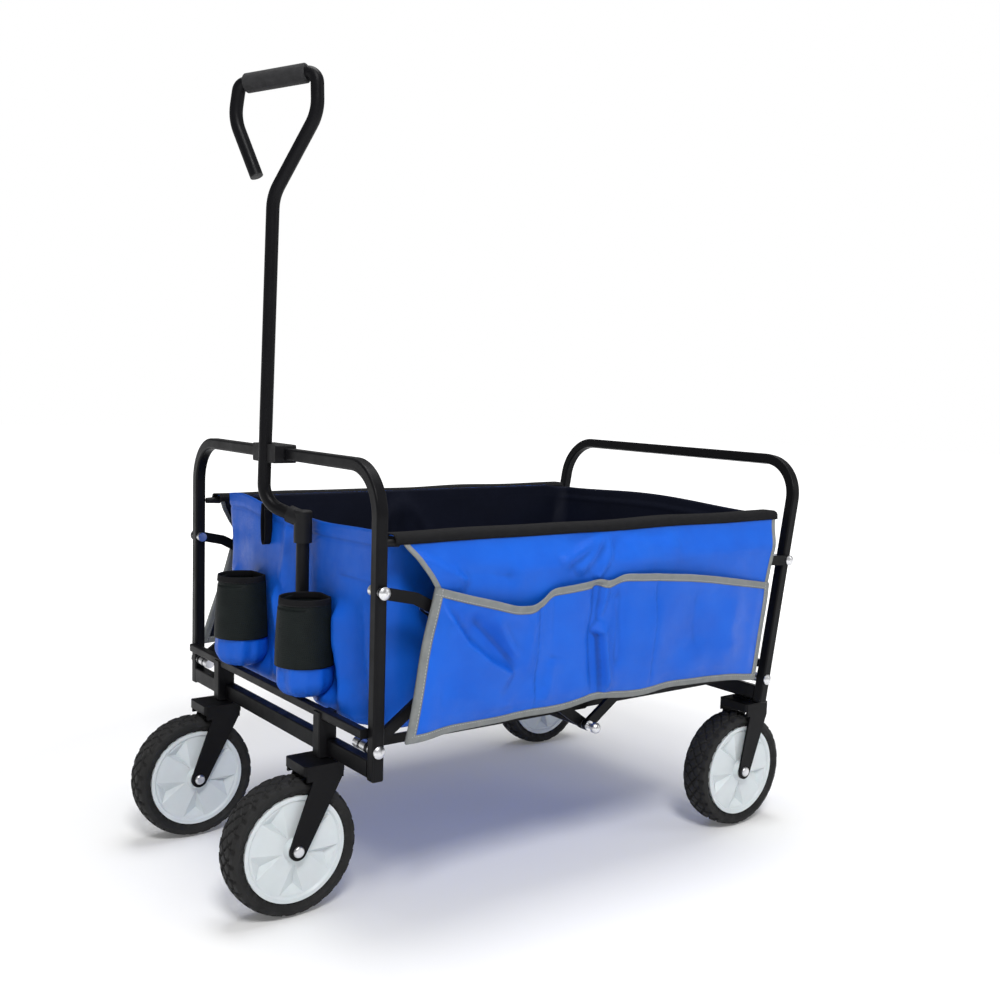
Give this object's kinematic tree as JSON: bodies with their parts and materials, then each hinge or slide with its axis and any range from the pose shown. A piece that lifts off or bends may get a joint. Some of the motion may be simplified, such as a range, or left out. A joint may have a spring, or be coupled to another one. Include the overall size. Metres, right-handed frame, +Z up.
{
  "type": "folding beach cart",
  "caption": "Folding beach cart: cloth basket on a scissor-folding steel frame, swivelling front wheels, fixed rear wheels and a looped pull handle.",
  "frame": {"origin": "on the ground under the centre of the bounding box", "axes": "+X to the rear, -X to the pull handle, +Y to the cart's right, +Z up"},
  "size_m": [0.918, 0.61, 1.0997],
  "materials": {
    "black_steel": "semi-gloss powder coat",
    "bolt_steel": "zinc plated",
    "black_plastic": "moulded",
    "hub": "satin moulded",
    "tyre": "matte",
    "foam": "matte foam",
    "blue_cloth": "coated woven polyester",
    "dark_cloth": "woven polyester",
    "webbing": "webbing"
  },
  "bodies": {
    "front_frame": {"front_hoop": "black_steel", "front_hoop_feet": "black_plastic", "front_upper_crossbar": "black_steel", "front_lower_crossbar": "black_steel", "caster_posts": "black_steel", "front_hoop_bolts": "bolt_steel", "handle_clip": "black_plastic", "handle_bracket": "black_steel", "basket": "blue_cloth", "floor_mat": "dark_cloth", "side_pocket_left": "blue_cloth", "side_pocket_right": "blue_cloth", "cup_pocket_left": "blue_cloth", "cup_pocket_right": "blue_cloth", "hem_plugs": "black_plastic", "holding_strap": "webbing"},
    "handle": {"handle_stem": "black_steel", "handle_grip": "foam", "handle_plug": "black_plastic", "handle_lower_tube": "black_steel", "handle_elbow": "black_plastic", "handle_pin": "bolt_steel"},
    "front_rising_bars": {"front_rising_bar_left": "black_steel", "front_rising_bar_right": "black_steel", "front_bar_rivets": "bolt_steel"},
    "front_falling_bars": {"front_falling_bar_left": "black_steel", "front_falling_bar_right": "black_steel", "front_link_bolts": "bolt_steel", "bottom_bolts": "bolt_steel", "cross_tube": "black_steel"},
    "rear_falling_bars": {"rear_falling_bar_left": "black_steel", "rear_falling_bar_right": "black_steel", "rear_bar_rivets": "bolt_steel"},
    "rear_rising_bars": {"rear_rising_bar_left": "black_steel", "rear_rising_bar_right": "black_steel", "rear_link_bolts": "bolt_steel"},
    "rear_frame": {"rear_hoop": "black_steel", "rear_hoop_feet": "black_plastic", "rear_upper_crossbar": "black_steel", "rear_lower_crossbar": "black_steel", "rear_hoop_bolts": "bolt_steel", "rear_fork_left": "black_steel", "rear_fork_right": "black_steel", "rear_axles": "bolt_steel"},
    "front_rails": {"front_floor_rails": "black_steel"},
    "rear_rails": {"rear_floor_rails": "black_steel"},
    "front_links": {"front_links": "black_steel"},
    "rear_links": {"rear_links": "black_steel"},
    "caster_left": {"caster_fork_left": "black_steel", "caster_axle_left": "bolt_steel"},
    "front_wheel_left": {"front_left_hub": "hub", "front_left_tyre": "tyre"},
    "rear_wheel_left": {"rear_left_hub": "hub", "rear_left_tyre": "tyre"},
    "caster_right": {"caster_fork_right": "black_steel", "caster_axle_right": "bolt_steel"},
    "front_wheel_right": {"front_right_hub": "hub", "front_right_tyre": "tyre"},
    "rear_wheel_right": {"rear_right_hub": "hub", "rear_right_tyre": "tyre"}
  },
  "joints": [
    {"name": "fold", "type": "hinge", "parent": "front_frame", "child": "front_rising_bars", "pos_m": [-0.31324, 0, 0.235], "axis": [0, -1, 0], "range_deg": [0, 44.69], "deforming": ["basket", "floor_mat", "side_pocket_left", "side_pocket_right"]},
    {"name": "front_cross_pivot", "type": "hinge", "parent": "front_rising_bars", "child": "front_falling_bars", "pos_m": [-0.15411, 0, 0.3477], "axis": [0, -1, 0], "range_deg": [-89.4, 0]},
    {"name": "top_pivot", "type": "hinge", "parent": "front_rising_bars", "child": "rear_falling_bars", "pos_m": [0.03976, 0, 0.485], "axis": [0, -1, 0], "range_deg": [-89.4, 0]},
    {"name": "rear_cross_pivot", "type": "hinge", "parent": "rear_falling_bars", "child": "rear_rising_bars", "pos_m": [0.23362, 0, 0.3477], "axis": [0, -1, 0], "range_deg": [0, 89.4]},
    {"name": "rear_frame_pivot", "type": "hinge", "parent": "rear_falling_bars", "child": "rear_frame", "pos_m": [0.39276, 0, 0.235], "axis": [0, -1, 0], "range_deg": [0, 54.2]},
    {"name": "front_rail_pivot", "type": "hinge", "parent": "front_frame", "child": "front_rails", "pos_m": [-0.31324, 0, 0.235], "axis": [0, -1, 0], "range_deg": [0, 77.72]},
    {"name": "rear_rail_pivot", "type": "hinge", "parent": "rear_frame", "child": "rear_rails", "pos_m": [0.39276, 0, 0.235], "axis": [0, -1, 0], "range_deg": [-87.22, 0]},
    {"name": "front_link_pivot", "type": "hinge", "parent": "front_frame", "child": "front_links", "pos_m": [-0.31324, 0, 0.43181], "axis": [0, -1, 0], "range_deg": [0, 98.52]},
    {"name": "rear_link_pivot", "type": "hinge", "parent": "rear_frame", "child": "rear_links", "pos_m": [0.42423, 0, 0.42305], "axis": [0, -1, 0], "range_deg": [-98.98, 0]},
    {"name": "handle_pivot", "type": "hinge", "parent": "front_frame", "child": "handle", "pos_m": [-0.29947, -0.05128, 0.28], "axis": [0, -1, 0], "range_deg": [0, 100]},
    {"name": "caster_swivel_left", "type": "hinge", "parent": "front_frame", "child": "caster_left", "pos_m": [-0.32024, -0.16, 0.1965], "axis": [0, 0, 1], "continuous": true},
    {"name": "front_wheel_spin_left", "type": "hinge", "parent": "caster_left", "child": "front_wheel_left", "pos_m": [-0.37024, -0.16, 0.089], "axis": [0, 1, 0], "continuous": true},
    {"name": "rear_wheel_spin_left", "type": "hinge", "parent": "rear_frame", "child": "rear_wheel_left", "pos_m": [0.36176, -0.248, 0.089], "axis": [0, 1, 0], "continuous": true},
    {"name": "caster_swivel_right", "type": "hinge", "parent": "front_frame", "child": "caster_right", "pos_m": [-0.32024, 0.16, 0.1965], "axis": [0, 0, 1], "continuous": true},
    {"name": "front_wheel_spin_right", "type": "hinge", "parent": "caster_right", "child": "front_wheel_right", "pos_m": [-0.37024, 0.16, 0.089], "axis": [0, 1, 0], "continuous": true},
    {"name": "rear_wheel_spin_right", "type": "hinge", "parent": "rear_frame", "child": "rear_wheel_right", "pos_m": [0.36176, 0.248, 0.089], "axis": [0, 1, 0], "continuous": true}
  ],
  "couplings": [
    {"joint": "front_cross_pivot", "follows": "fold", "ratio": -2},
    {"joint": "top_pivot", "follows": "fold", "ratio": -2},
    {"joint": "rear_cross_pivot", "follows": "fold", "ratio": 2},
    {"joint": "rear_frame_pivot", "follows": "fold", "ratio": 1.2126},
    {"joint": "front_rail_pivot", "follows": "fold", "ratio": 1.7388},
    {"joint": "rear_rail_pivot", "follows": "fold", "ratio": -1.9514},
    {"joint": "front_link_pivot", "follows": "fold", "ratio": 2.2041},
    {"joint": "rear_link_pivot", "follows": "fold", "ratio": -2.2145}
  ]
}
